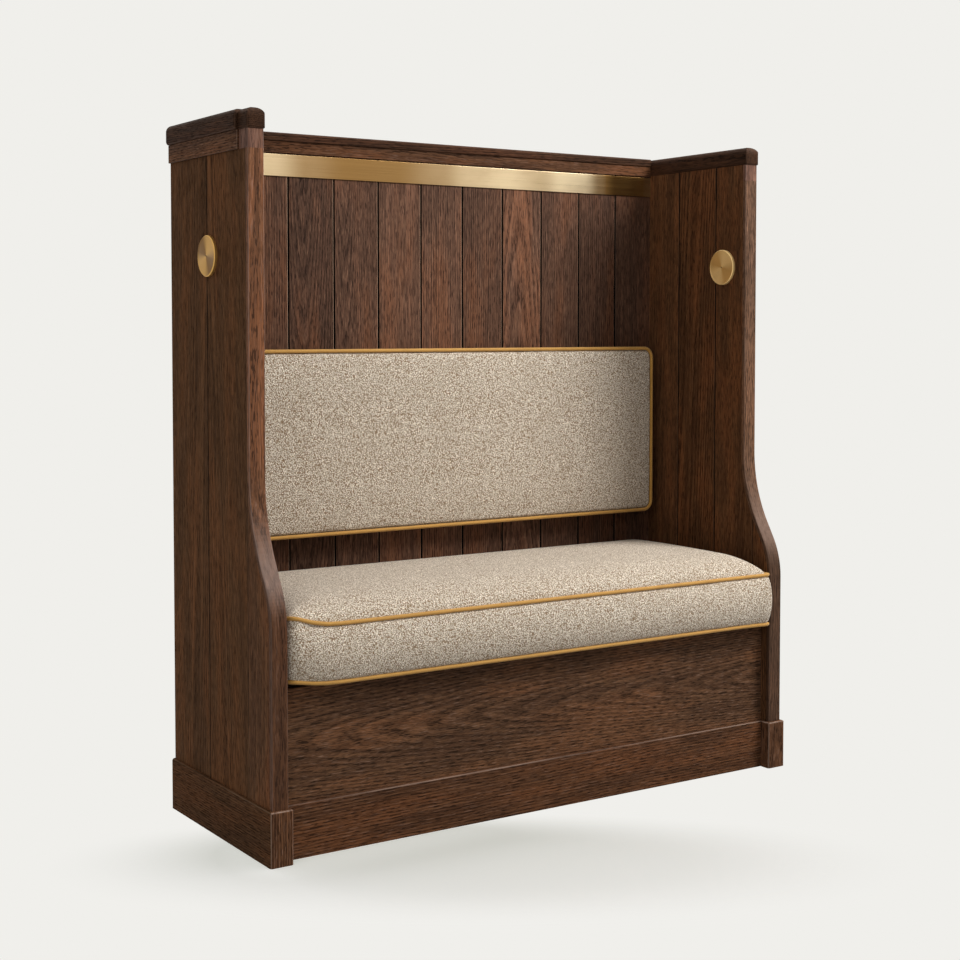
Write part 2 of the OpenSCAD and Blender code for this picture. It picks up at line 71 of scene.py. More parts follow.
def linear(red: int, green: int, blue: int) -> Tone:
    """Turn a colour as a painter reads it into the light that the shader works with.

    Args:
        red: Red, 0 to 255.
        green: Green, 0 to 255.
        blue: Blue, 0 to 255.

    Returns:
        The colour's linear red, green and blue, with full alpha.
    """
    parts = [value / 255 for value in (red, green, blue)]
    light = [c / 12.92 if c <= 0.04045 else ((c + 0.055) / 1.055) ** 2.4 for c in parts]
    return (light[0], light[1], light[2], 1.0)


class Axis(Enum):
    """A direction that the grain of a piece runs in."""

    ACROSS = 0
    DEEP = 1
    UP = 2


class Bench:
    """Adds nodes to one tree and joins them."""

    def __init__(self, tree: bpy.types.NodeTree) -> None:
        """Keep the node tree that is built."""
        self.tree = tree

    def node(self, kind: str, feeds: Feeds, **settings: object) -> Node:
        """Add a shader node.

        Args:
            kind: The node's type, without its leading ShaderNode.
            feeds: A value or another node's socket for each input that is set.
            settings: The node's own settings.

        Returns:
            The new node.
        """
        made = self.tree.nodes.new("ShaderNode" + kind)
        for name, value in settings.items():
            setattr(made, name, value)
        self.feed(made, feeds)
        return made

    def feed(self, node: Node, feeds: Feeds) -> None:
        """Give a node's inputs their values or their links.

        Args:
            node: The node.
            feeds: A value or another node's socket for each input that is set.
        """
        for name, feed in feeds.items():
            if isinstance(feed, Socket):
                self.tree.links.new(feed, node.inputs[name])
            else:
                node.inputs[name].default_value = feed

    def out(self, kind: str, feeds: Feeds, **settings: object) -> Socket:
        """Add a shader node and return its first output."""
        return self.node(kind, feeds, **settings).outputs[0]

    def math(self, operation: str, *values: Feed) -> Socket:
        """Return the result of a Math node on the values."""
        return self.out("Math", dict(enumerate(values)), operation=operation)

    def vector(self, operation: str, *values: Feed) -> Socket:
        """Return the vector that a Vector Math node makes of the values."""
        return self.out("VectorMath", dict(enumerate(values)), operation=operation)

    def length(self, value: Feed) -> Socket:
        """Return the length of a vector."""
        return self.node("VectorMath", {0: value}, operation="LENGTH").outputs[1]

    def mix(self, share: Feed, first: Feed, second: Feed) -> Socket:
        """Return a colour between two, by a share from 0 to 1."""
        return self.node("Mix", {0: share, 6: first, 7: second}, data_type="RGBA").outputs[2]

    def coat(self, colour: Feed, *coats: tuple[Feed, Feed]) -> Feed:
        """Return a colour with others laid over it in turn, each by its share from 0 to 1."""
        for share, over in coats:
            colour = self.mix(share, colour, over)
        return colour

    def ease(self, value: Feed, low: float, high: float, start: float = 0.0, end: float = 1.0) -> Socket:
        """Return a value that eases from start to end while the input goes from low to high."""
        feeds = {0: value, 1: low, 2: high, 3: start, 4: end}
        return self.out("MapRange", feeds, interpolation_type="SMOOTHSTEP")

    def level(self, value: Feed, low: float, high: float) -> Socket:
        """Return a value that goes evenly from 0 to 1 while the input goes from low to high."""
        return self.out("MapRange", {0: value, 1: low, 2: high, 3: 0.0, 4: 1.0})

    def part(self, place: Feed, axis: int) -> Socket:
        """Return one part of a vector: 0, 1 or 2 for X, Y or Z."""
        return self.node("SeparateXYZ", {0: place}).outputs[axis]

    def place(self) -> Socket:
        """Return the place on the piece, which is the place in the settle's frame."""
        return self.node("TexCoord", {}).outputs["Object"]

    def normal(self) -> Socket:
        """Return the way that the surface faces."""
        return self.node("NewGeometry", {}).outputs[1]

    def relief(self, height: Feed, strength: float, depth: float) -> Socket:
        """Return the normal of a surface that is raised by a height, where 1 stands this high in metres."""
        return self.out("Bump", {"Strength": strength, "Distance": depth, "Height": height})

    def noise(self, place: Feed, stretch: Place, detail: float, rough: float) -> Node:
        """Return a noise node whose pattern repeats this many times a metre on each axis."""
        scaled = self.vector("MULTIPLY", place, stretch)
        return self.node("TexNoise", {"Vector": scaled, "Scale": 1.0, "Detail": detail, "Roughness": rough})

    def cloud(self, place: Feed, stretch: Place, detail: float = 2.0, rough: float = 0.5) -> Socket:
        """Return a noise's value; its pattern repeats this many times a metre on each axis."""
        return self.noise(place, stretch, detail, rough).outputs[0]

    def wander(self, place: Feed, stretch: Place, reach: float, detail: float = 2.0) -> Socket:
        """Return a vector that wanders about this far, by a noise's colour."""
        shifted = self.vector("SUBTRACT", self.noise(place, stretch, detail, 0.5).outputs[1], (0.5, 0.5, 0.5))
        return self.vector("MULTIPLY", shifted, (reach, reach, reach))


class Finish:
    """What a surface is made of; each kind paints its own material."""

    name: str

    def paint(self, bench: Bench, shader: Node) -> None:
        """Feed the material's Principled node."""
        raise NotImplementedError

    def material(self) -> bpy.types.Material:
        """Return the material, made once for each name."""
        found = bpy.data.materials.get(self.name)
        if found:
            return found
        made = bpy.data.materials.new(self.name)
        made.use_nodes = True
        self.paint(Bench(made.node_tree), made.node_tree.nodes["Principled BSDF"])
        return made

    def dress(self, piece: Piece) -> None:
        """Put the material on the whole of a mesh object."""
        piece.data.materials.clear()
        piece.data.materials.append(self.material())


class OakFigure:
    """The shared figure of oak: rings round a pith, open pores, long fibres and arrises paler with wear and a
    painted highlight.
    """

    NAME = "oak figure"
    TONES = ("Pale", "Middle", "Dark", "Wear and sheen", "Warm")

    def __init__(self) -> None:
        """Find the node group, or build it."""
        self.group = bpy.data.node_groups.get(self.NAME) or self._build()

    def _build(self) -> bpy.types.NodeTree:
        """Build the group: place and colours in, colour, roughness and height out."""
        group = bpy.data.node_groups.new(self.NAME, "ShaderNodeTree")
        sockets = [("Place", "INPUT", "Vector"), ("Ring", "INPUT", "Float")]
        sockets += [(name, "INPUT", "Color") for name in self.TONES]
        sockets += [("Colour", "OUTPUT", "Color"), ("Roughness", "OUTPUT", "Float"),
                    ("Height", "OUTPUT", "Float")]
        for name, way, kind in sockets:
            group.interface.new_socket(name=name, in_out=way, socket_type="NodeSocket" + kind)
        bench = Bench(group)
        given = group.nodes.new("NodeGroupInput").outputs
        fibre = bench.vector("ADD", given["Place"], bench.wander(given["Place"], (6.0, 6.0, 1.1), 14 * MM))
        early, late = self._rings(bench, given, fibre)
        pores = bench.ease(bench.cloud(fibre, (440.0, 440.0, 50.0), 1.0, 0.6), 0.51, 0.6)
        pores = bench.math("MULTIPLY", pores, bench.math("MULTIPLY_ADD", early, 0.5, 0.5))
        fibres = bench.cloud(fibre, (900.0, 900.0, 16.0), 2.0, 0.6)
        streaks = bench.cloud(fibre, (130.0, 130.0, 2.4), 3.0, 0.65)
        clouds = bench.cloud(fibre, (16.0, 16.0, 3.0))
        both = bench.math("MULTIPLY_ADD", clouds, 0.45, bench.math("MULTIPLY", streaks, 0.55))
        # The pale dashes are flecks in the grain and partly painted glints off the pore edges.
        flecks = bench.mix(0.45, given["Wear and sheen"], given["Warm"])
        arris = self._arris(bench)
        # Arrises and rounded edges take the wear-and-sheen tone: partly wear, partly a painted highlight.
        painted_edge = bench.math("MULTIPLY", arris, bench.ease(streaks, 0.3, 0.65, 0.2, 0.75))
        colour = bench.coat(
            given["Middle"],
            (bench.ease(both, 0.38, 0.64), given["Pale"]),
            (bench.ease(clouds, 0.42, 0.64, 0.0, 0.45), given["Warm"]),
            (self._dashes(bench, fibre, late), flecks),
            (bench.ease(fibres, 0.38, 0.58, 0.5, 0.0), given["Dark"]),
            (bench.math("MULTIPLY", early, 0.36), given["Dark"]),
            (bench.math("MULTIPLY", pores, 0.8), given["Dark"]),
            (painted_edge, given["Wear and sheen"]))
        rough = bench.math("MULTIPLY_ADD", pores, 0.2, bench.ease(fibres, 0.3, 0.7, 0.62, 0.48))
        height = bench.math("MULTIPLY_ADD", pores, -1.0, bench.math("MULTIPLY", fibres, 0.7))
        bench.feed(group.nodes.new("NodeGroupOutput"), {
            "Colour": colour, "Roughness": bench.math("MULTIPLY_ADD", arris, -0.08, rough),
            "Height": bench.math("MULTIPLY_ADD", early, -0.3, height)})
        return group

    def _rings(self, bench: Bench, given: bpy.types.bpy_prop_collection, fibre: Feed) -> tuple[Feed, Feed]:
        """Return how far a place lies in the porous early wood and in the dense late wood of its ring."""
        flutter = bench.wander(given["Place"], (60.0, 60.0, 9.0), 1.5 * MM)
        flat = bench.vector("MULTIPLY", bench.vector("ADD", fibre, flutter), (1.0, 1.0, 0.0))
        phase = bench.math("FRACT", bench.math("DIVIDE", bench.length(flat), given["Ring"]))
        early = bench.math("MULTIPLY", bench.ease(phase, 0.0, 0.12), bench.ease(phase, 0.3, 0.75, 1.0, 0.0))
        return early, bench.ease(phase, 0.7, 0.95)

    def _dashes(self, bench: Bench, fibre: Feed, late: Feed) -> Feed:
        """Return the share of the short pale dashes, grain flecks that are partly painted glints, which stand
        closer in late wood.
        """
        moved = bench.vector("ADD", fibre, (3.1, 1.7, 0.9))
        dashes = bench.ease(bench.cloud(moved, (520.0, 520.0, 42.0), 1.0), 0.55, 0.66)
        return bench.math("MULTIPLY", dashes, bench.math("MULTIPLY_ADD", late, 0.3, 0.25))

    def _arris(self, bench: Bench) -> Feed:
        """Return how far a place lies on a rounded arris, by how far its face turns from the axes."""
        facing = bench.node("SeparateXYZ", {0: bench.vector("ABSOLUTE", bench.normal())}).outputs
        squarest = bench.math("MAXIMUM", facing[0], bench.math("MAXIMUM", facing[1], facing[2]))
        return bench.ease(bench.math("SUBTRACT", 1.0, squarest), 0.04, 0.26)


@dataclass(frozen=True)
class Bend:
    """The bend that a front edge's grain follows: its lowest and highest point and how far back it goes."""

    low: float
    high: float
    back: float


@dataclass(frozen=True)
class Joint:
    """The open joints beside a board: painted shade below its face and on one bevel, and a painted bevel tone
    on the other.

    `axis` is the way that the board is thick, and `face` the place of its seen face along it. The bevel that
    faces along its given axis, to the side that `way` gives, has the painted bevel tone: a painted highlight
    on the back boards and painted shade on the side boards. Nothing is shaded on the board's other face, nor
    on the outermost edge that shows behind `rear`.
    """

    axis: Axis
    face: float
    thickness: float
    bevel: float
    painted_edge: Axis
    way: float
    painted_bevel_tone: Tone
    rear: float
    shade_tone: Tone = linear(4, 3, 2)

    def shade(self, bench: Bench, colour: Feed) -> Feed:
        """Return the board's colour with the painted shade and bevel tones of its joints.

        Args:
            bench: The material's nodes.
            colour: The board's own colour.

        Returns:
            The shaded colour.
        """
        place = bench.place()
        sunk = bench.math("ABSOLUTE", bench.math("SUBTRACT", bench.part(place, self.axis.value), self.face))
        before = bench.ease(sunk, self.thickness - 1.5 * MM, self.thickness - 0.5 * MM, 1.0, 0.0)
        ahead = bench.ease(bench.part(place, 1), self.rear - 2 * MM, self.rear - 1 * MM, 1.0, 0.0)
        inside = bench.math("MULTIPLY", before, ahead)
        bevelled = bench.math("MULTIPLY", inside, bench.ease(sunk, 0.08 * self.bevel, 0.3 * self.bevel))
        # Painted light: the bevel that faces the given way takes the painted bevel tone, and the other bevel
        # takes painted shade.
        facing = bench.part(bench.normal(), self.painted_edge.value)
        lit = bench.ease(bench.math("MULTIPLY", facing, self.way), 0.2, 0.5)
        # Painted shade in the gap below the face.
        painted_dark = bench.math("MULTIPLY", inside, bench.ease(sunk, 0.95 * self.bevel, 1.1 * self.bevel))
        return bench.coat(colour, (bevelled, bench.mix(lit, self.shade_tone, self.painted_bevel_tone)),
                          (painted_dark, self.shade_tone))


@dataclass(frozen=True)
class OakFinish(Finish):
    """Oak for one piece: where its log's pith ran, how wide its rings are and how it took the stain."""

    name: str
    grain: Axis
    pith: Place
    tilt: tuple[float, float]
    ring: float
    tones: dict[str, Tone]
    shine: float
    bend: Optional[Bend]
    joint: Optional[Joint]

    def _place(self, bench: Bench) -> Feed:
        """Return the place in the wood; in a bent piece the grain follows the bend."""
        place = bench.place()
        if not self.bend:
            return place
        back = bench.ease(bench.part(place, 2), self.bend.low, self.bend.high, 0.0, self.bend.back)
        return bench.vector("SUBTRACT", place, bench.out("CombineXYZ", {1: back}))

    def _painted_bend_light(self, bench: Bench, colour: Feed) -> Feed:
        """Return a bent piece's colour with painted light: painted shade below the bend and a painted sheen
        where the bend lies back and faces up.
        """
        # Painted shade: darker below the bend.
        low = bench.ease(bench.part(bench.place(), 2), self.bend.low, self.bend.high, 0.5, 0.0)
        # Painted sheen where the bend faces up.
        lying = bench.ease(bench.part(bench.normal(), 2), 0.12, 0.5, 0.0, 0.3)
        return bench.coat(colour, (low, self.tones["Dark"]), (lying, self.tones["Wear and sheen"]))

    def paint(self, bench: Bench, shader: Node) -> None:
        """Lay the oak's figure along the piece's grain."""
        upright = {Axis.ACROSS: (0.0, math.pi / 2, 0.0), Axis.DEEP: (-math.pi / 2, 0.0, 0.0),
                   Axis.UP: (0.0, 0.0, 0.0)}[self.grain]
        leaning = Euler(upright).to_matrix() @ Euler((*self.tilt, 0.0)).to_matrix()
        placed = bench.out("Mapping", {0: self._place(bench), 1: self.pith, 2: tuple(leaning.to_euler())},
                           vector_type="TEXTURE")
        figure = bench.node("Group", {"Place": placed, "Ring": self.ring, **self.tones},
                            node_tree=OakFigure().group).outputs
        colour = figure["Colour"]
        if self.bend:
            colour = self._painted_bend_light(bench, colour)
        if self.joint:
            colour = self.joint.shade(bench, colour)
        bench.feed(shader, {"Base Color": colour, "Roughness": figure["Roughness"],
                            "Normal": bench.relief(figure["Height"], 0.55, 0.5 * MM),
                            "Specular IOR Level": self.shine})


class Stain(Enum):
    """The stains, named for the timber that takes them; INNER and LEVEL serve all that has no other.

    Each gives the tones of the oak's figure, in their order there, and then its shine.
    """

    BOARD = ((134, 95, 74), (100, 72, 56), (42, 27, 21), (176, 142, 118), (136, 84, 52), 0.06)
    OUTER = ((110, 76, 49), (85, 57, 36), (40, 26, 15), (124, 98, 76), (116, 70, 40), 0.01)
    INNER = ((122, 84, 54), (90, 60, 39), (40, 24, 14), (140, 104, 76), (134, 78, 45), 0.02)
    LEFT_EDGE = ((156, 106, 75), (118, 79, 53), (48, 30, 20), (166, 142, 130), (156, 94, 56), 0.08)
    LEVEL = ((122, 84, 58), (90, 60, 41), (37, 23, 15), (152, 130, 116), (126, 76, 45), 0.03)
    PANEL = ((118, 85, 61), (87, 61, 44), (36, 24, 16), (150, 130, 116), (122, 78, 50), 0.03)
    # The right front edge's greyer tones are partly the wood's and partly a painted sheen.
    RIGHT_EDGE = ((149, 110, 86), (112, 82, 61), (48, 33, 24), (152, 124, 108), (146, 100, 68), 0.08)
    HEAD = ((137, 99, 83), (104, 73, 60), (46, 31, 25), (150, 128, 120), (130, 88, 64), 0.1)
    CAP = ((84, 56, 38), (58, 38, 26), (28, 18, 12), (84, 62, 50), (88, 52, 34), 0.03)
    PLAIN = ((208, 176, 130), (190, 154, 108), (150, 112, 72), (214, 186, 146), (200, 160, 104), 0.2)

    def __init__(self, *values: Union[Paint, float]) -> None:
        """Keep the tones and the shine."""
        *self.paints, self.shine = values

    def tones(self, depth: float) -> dict[str, Tone]:
        """Return the tones for a board that took the stain this deeply.

        Args:
            depth: 1 for the usual tone; more is paler.

        Returns:
            A tone for each name in the oak's figure.
        """
        made = {}
        for name, paint in zip(OakFigure.TONES, self.paints):
            red, green, blue, _ = linear(*paint)
            made[name] = (red * depth, green * depth, blue * depth, 1.0)
        return made


@dataclass(frozen=True)
class BrassFinish(Finish):
    """Brushed brass, lacquered: the metal's tones, which carry painted reflections and highlights, how far it
    is bare metal, and how rough.
    """

    name: str
    centre: Place
    # The tones are painted reflection: dull between highlights, bright as a painted highlight.
    dull: Tone
    bright: Tone
    bare: float
    rough: tuple[float, float]
    # The darkest tone is a painted reflection of dark surroundings.
    painted_dark: Tone = linear(62, 40, 14)

    def brush(self, bench: Bench, place: Feed) -> tuple[Feed, Feed, Feed]:
        """Return the brush lines, their direction and the painted reflection at a place measured from the
        centre.
        """
        raise NotImplementedError

    def paint(self, bench: Bench, shader: Node) -> None:
        """Brush the metal along its tangent."""
        place = bench.vector("SUBTRACT", bench.place(), self.centre)
        lines, along, painted_reflection = self.brush(bench, place)
        tarnish = bench.cloud(place, (14.0, 14.0, 30.0), 3.0, 0.55)
        # The painted reflection picks the tone: dark, dull, then a bright painted highlight; the brush lines
        # and tarnish are the brass's own.
        colour = bench.coat(self.painted_dark, (bench.level(painted_reflection, 0.0, 0.3), self.dull),
                            (bench.level(painted_reflection, 0.3, 1.0), self.bright),
                            (bench.ease(lines, 0.3, 0.7, 0.12, 0.0), linear(120, 84, 44)),
                            (bench.ease(tarnish, 0.45, 0.8, 0.0, 0.15), linear(140, 102, 60)))
        bench.feed(shader, {"Base Color": colour, "Tangent": along, "Metallic": self.bare, "Anisotropic": 0.6,
                            "Roughness": bench.ease(lines, 0.25, 0.75, *self.rough),
                            "Normal": bench.relief(lines, 0.25, 0.05 * MM)})


@dataclass(frozen=True)
class DrawnBrass(BrassFinish):
    """Brass brushed along a strip, with broad bands of painted reflection and highlight from end to end."""

    reach: float = 1.0
    # Painted reflection along the strip, as shares of its length and levels: bright painted highlights, and
    # dark toward the right end where the right wing is mirrored.
    painted_reflection_bands: tuple[tuple[float, float], ...] = (
        (0.0, 0.6), (0.08, 0.84), (0.15, 0.7), (0.22, 0.4), (0.3, 0.31), (0.4, 0.32), (0.5, 0.46),
        (0.56, 0.68), (0.65, 0.84), (0.73, 0.66), (0.78, 1.0), (0.83, 1.0), (0.87, 0.42), (0.91, 0.1),
        (0.95, 0.16), (1.0, 0.4))

    def brush(self, bench: Bench, place: Feed) -> tuple[Feed, Feed, Feed]:
        """Draw the lines along X and lay the painted reflection bands by the share of the strip's length."""
        lines = bench.cloud(place, (3.0, 1500.0, 1500.0), 2.0, 0.6)
        share = bench.math("MULTIPLY_ADD", bench.part(place, 0), 1 / self.reach, 0.5)
        ramp = bench.node("ValToRGB", {0: share})
        ramp.color_ramp.interpolation = "EASE"
        stops = ramp.color_ramp.elements
        while len(stops) < len(self.painted_reflection_bands):
            stops.new(1.0)
        for stop, (where, level) in zip(stops, self.painted_reflection_bands):
            stop.position = where
            stop.color = (level, level, level, 1.0)
        return lines, bench.out("CombineXYZ", {0: 1.0}), ramp.outputs[0]


@dataclass(frozen=True)
class TurnedBrass(BrassFinish):
    """Brass brushed round a disc's middle: two painted highlight wedges, a painted highlight on the rim and a
    small centre dot.
    """

    rim: float = 40 * MM

    def brush(self, bench: Bench, place: Feed) -> tuple[Feed, Feed, Feed]:
        """Turn the lines round X and lay the painted highlight wedges on both sides of the middle."""
        out = bench.vector("MULTIPLY", place, (0.0, 1.0, 1.0))
        radius = bench.length(out)
        spread = bench.out("CombineXYZ", {0: radius})
        lines = bench.out("TexNoise", {"Vector": spread, "Scale": 2600.0, "Detail": 2.0})
        round_x = bench.vector("NORMALIZE", bench.vector("CROSS_PRODUCT", out, (1.0, 0.0, 0.0)))
        # Two painted highlight wedges, as brushed brass shows them under a lamp.
        turned = bench.node("VectorMath", {0: round_x, 1: (0.0, 0.75, 0.66)}, operation="DOT_PRODUCT")
        painted_wedge = bench.ease(bench.math("ABSOLUTE", turned.outputs[1]), 0.35, 1.0, 0.3, 0.86)
        # A painted highlight along the rim.
        rim = bench.ease(radius, self.rim - 2.6 * MM, self.rim - 1.2 * MM)
        dot = bench.ease(radius, 1.1 * MM, 2.2 * MM)
        return lines, round_x, bench.math("MULTIPLY", bench.math("MAXIMUM", painted_wedge, rim), dot)


@dataclass(frozen=True)
class LoopedWoolFinish(Finish):
    """Beige looped wool: small tight curls with shaded gaps between them."""

    name: str
    loops: float = 450.0
    curl: float = 3.4 * MM
    gap: Tone = linear(136, 110, 80)
    crest: Tone = linear(255, 243, 224)

    def paint(self, bench: Bench, shader: Node) -> None:
        """Curl the yarn."""
        place = bench.place()
        curled = bench.vector("ADD", place, bench.wander(place, (300.0, 300.0, 300.0), self.curl, 1.0))
        loops = bench.out("TexVoronoi", {"Vector": curled, "Scale": self.loops, "Smoothness": 0.3,
                                         "Randomness": 1.0}, feature="SMOOTH_F1")
        loft = bench.ease(loops, 0.28, 0.66, 1.0, 0.0)
        yarn = bench.cloud(curled, (900.0, 900.0, 900.0), 2.0, 0.6)
        height = bench.math("MULTIPLY_ADD", yarn, 0.35, loft)
        drift = bench.cloud(place, (16.0, 16.0, 16.0))
        flecks = bench.cloud(place, (130.0, 130.0, 130.0), 1.0)
        colour = bench.coat(self.gap, (loft, self.crest),
                            (bench.ease(flecks, 0.42, 0.68, 0.0, 0.3), linear(190, 172, 148)),
                            (bench.ease(drift, 0.35, 0.7, 0.0, 0.12), linear(176, 160, 138)))
        bench.feed(shader, {"Base Color": colour, "Normal": bench.relief(height, 0.85, 1.6 * MM),
                            "Roughness": 0.95, "Specular IOR Level": 0.2, "Sheen Weight": 0.25,
                            "Sheen Roughness": 0.5})


@dataclass(frozen=True)
class PipingFinish(Finish):
    """Mustard woven cotton, wrapped on the bias round a cord."""

    name: str

    def paint(self, bench: Bench, shader: Node) -> None:
        """Weave the threads on the bias, by the piping's own length and girth."""
        around = bench.out("UVMap", {}, uv_map="length and girth")
        ribs = []
        for turn in (0.7, -0.7):
            turned = bench.out("Mapping", {0: around, 2: (0.0, 0.0, turn)})
            ribs.append(bench.node("TexWave", {"Vector": turned, "Scale": 420.0, "Distortion": 1.5,
                                               "Detail": 1.0, "Detail Scale": 2.0}).outputs[1])
        weave = bench.math("MAXIMUM", *ribs)
        drift = bench.cloud(bench.place(), (30.0, 30.0, 30.0))
        colour = bench.coat(linear(140, 96, 32), (bench.ease(weave, 0.2, 0.9), linear(194, 144, 62)),
                            (bench.ease(drift, 0.4, 0.75, 0.0, 0.4), linear(156, 112, 42)))
        bench.feed(shader, {"Base Color": colour, "Normal": bench.relief(weave, 0.5, 0.3 * MM),
                            "Roughness": 0.75, "Sheen Weight": 0.15})


def pick_out(piece: Piece) -> None:
    """Select one piece alone and make it active.

    Args:
        piece: The object that the next operator works on.
    """
    if bpy.context.object and bpy.context.object.mode != "OBJECT":
        bpy.ops.object.mode_set(mode="OBJECT")
    bpy.ops.object.select_all(action="DESELECT")
    piece.select_set(True)
    bpy.context.view_layer.objects.active = piece


def apply_modifiers(piece: Piece) -> None:
    """Apply a piece's modifiers in their order.

    Args:
        piece: The object that carries them.
    """
    pick_out(piece)
    for modifier in list(piece.modifiers):
        bpy.ops.object.modifier_apply(modifier=modifier.name)


def select_edges(piece: Piece, wanted: Callable[[Vector, Vector], bool]) -> None:
    """In edit mode, select the edges whose two ends pass a test, and nothing else.

    Args:
        piece: The object in edit mode.
        wanted: Takes an edge's two ends and says whether the edge is wanted.
    """
    bpy.ops.mesh.select_all(action="DESELECT")
    bpy.ops.mesh.select_mode(type="EDGE")
    mesh = bmesh.from_edit_mesh(piece.data)
    for edge in mesh.edges:
        edge.select_set(wanted(edge.verts[0].co, edge.verts[1].co))
    bmesh.update_edit_mesh(piece.data)


def points_of(piece: Piece, what: str = "co") -> np.ndarray:
    """Return the place of each of a mesh's points, or its normal, one row each."""
    values = np.zeros(len(piece.data.vertices) * 3)
    piece.data.vertices.foreach_get(what, values)
    return values.reshape(-1, 3)


def set_points(piece: Piece, points: np.ndarray) -> None:
    """Move a mesh's points to new places, one row each."""
    piece.data.vertices.foreach_set("co", points.astype(np.float32).ravel())
    piece.data.update()


def eased(value: np.ndarray, low: float, high: float) -> np.ndarray:
    """Return 0 below low, 1 above high and a smooth step between."""
    share = np.clip((value - low) / (high - low), 0, 1)
    return share * share * (3 - 2 * share)


@dataclass(frozen=True)
class Ear:
    """How one front corner of a cushion stands out; its lower seam rises by a share of that."""

    forward: float = 0.0
    sideways: float = 0.0
    up: float = 0.0
    low: float = 0.0
    spread: float = 42 * MM


@dataclass(frozen=True)
class Ears:
    """Both front corners of a cushion, and how far in front of its neighbours they may spread sideways."""

    left: Ear = Ear()
    right: Ear = Ear()
    clear: float = 6.5 * MM

    def push(self, points: np.ndarray, half_x: float, half_y: float, height: np.ndarray) -> np.ndarray:
        """Return how far each point moves; sideways only in front of what stands beside the corner.

        Args:
            points: Points, one row each, lying flat with the front at -Y.
            half_x: Half the cushion's width.
            half_y: Half its depth.
            height: Each point's height, 0 at the lower seam and 1 at the upper one.

        Returns:
            The moves, one row each.
        """
        moves = np.zeros_like(points)
        for side, ear in ((-1, self.left), (1, self.right)):
            away = np.hypot(points[:, 0] - side * half_x, points[:, 1] + half_y)
            share = np.exp(-((away / ear.spread) ** 2))
            ahead = self.clear - half_y - (points[:, 1] - share * ear.forward)
            moves[:, 0] += side * share * ear.sideways * eased(ahead, 0.0, 8 * MM)
            moves[:, 1] -= share * ear.forward
            moves[:, 2] += share * ear.up * (ear.low + (1 - ear.low) * height)
        return moves


@dataclass
class Piping:
    """One closed row of piping round a rectangle with round corners, lying flat."""

    name: str
    width: float
    depth: float
    corner: float
    thickness: float
    height: float
    ears: Ears = Ears()
    level: float = 1.0
    bend_steps: int = 12
    side_steps: int = 40
    straight: float = 0.2

    def build(self) -> Piece:
        """Draw the row's path with a bevelled plane and run a round section along it.

        Returns:
            The piping, with a map of its length and girth.
        """
        bpy.ops.mesh.primitive_plane_add(size=1.0, location=(0.0, 0.0, self.height))
        path = bpy.context.object
        path.name = self.name
        path.scale = (self.width, self.depth, 1.0)
        bpy.ops.object.transform_apply(location=True, rotation=True, scale=True)
        bpy.ops.object.mode_set(mode="EDIT")
        bpy.ops.mesh.select_all(action="SELECT")
        bpy.ops.mesh.bevel(offset=self.corner, offset_type="OFFSET", segments=self.bend_steps,
                           affect="VERTICES")
        select_edges(path, lambda a, b: (a - b).length > self.straight)
        bpy.ops.mesh.subdivide(number_cuts=self.side_steps)
        bpy.ops.mesh.select_all(action="SELECT")
        bpy.ops.mesh.delete(type="ONLY_FACE")
        bpy.ops.object.mode_set(mode="OBJECT")
        bpy.ops.object.convert(target="CURVE")
        curve = bpy.context.object
        curve.data.dimensions = "3D"
        curve.data.bevel_depth = self.thickness / 2
        curve.data.bevel_resolution = 4
        curve.data.use_fill_caps = False
        bpy.ops.object.convert(target="MESH")
        made = bpy.context.object
        made.name = self.name
        self._map(made)
        points = points_of(made)
        level = np.full(len(points), self.level)
        set_points(made, points + self.ears.push(points, self.width / 2, self.depth / 2, level))
        bpy.ops.object.shade_smooth()
        return made

    def _map(self, made: Piece) -> None:
        """Give each corner of each face its length along the row and its girth, in metres.

        Args:
            made: The piping's mesh.
        """
        layer = made.data.uv_layers.new(name="length and girth")
        half = np.array([self.width / 2 - self.corner, self.depth / 2 - self.corner])
        radius = self.thickness / 2
        points = points_of(made)
        flat = points[:, :2]
        core = np.clip(flat, -half, half)
        away = flat - core
        gone = np.linalg.norm(away, axis=1)
        turn = np.arctan2(flat[:, 1] * self.width, flat[:, 0] * self.depth)
        along = turn * (self.width + self.depth) / math.pi
        girth = np.arctan2(points[:, 2] - self.height, gone - self.corner) * radius
        for loop in made.data.loops:
            layer.data[loop.index].uv = (along[loop.vertex_index], girth[loop.vertex_index])


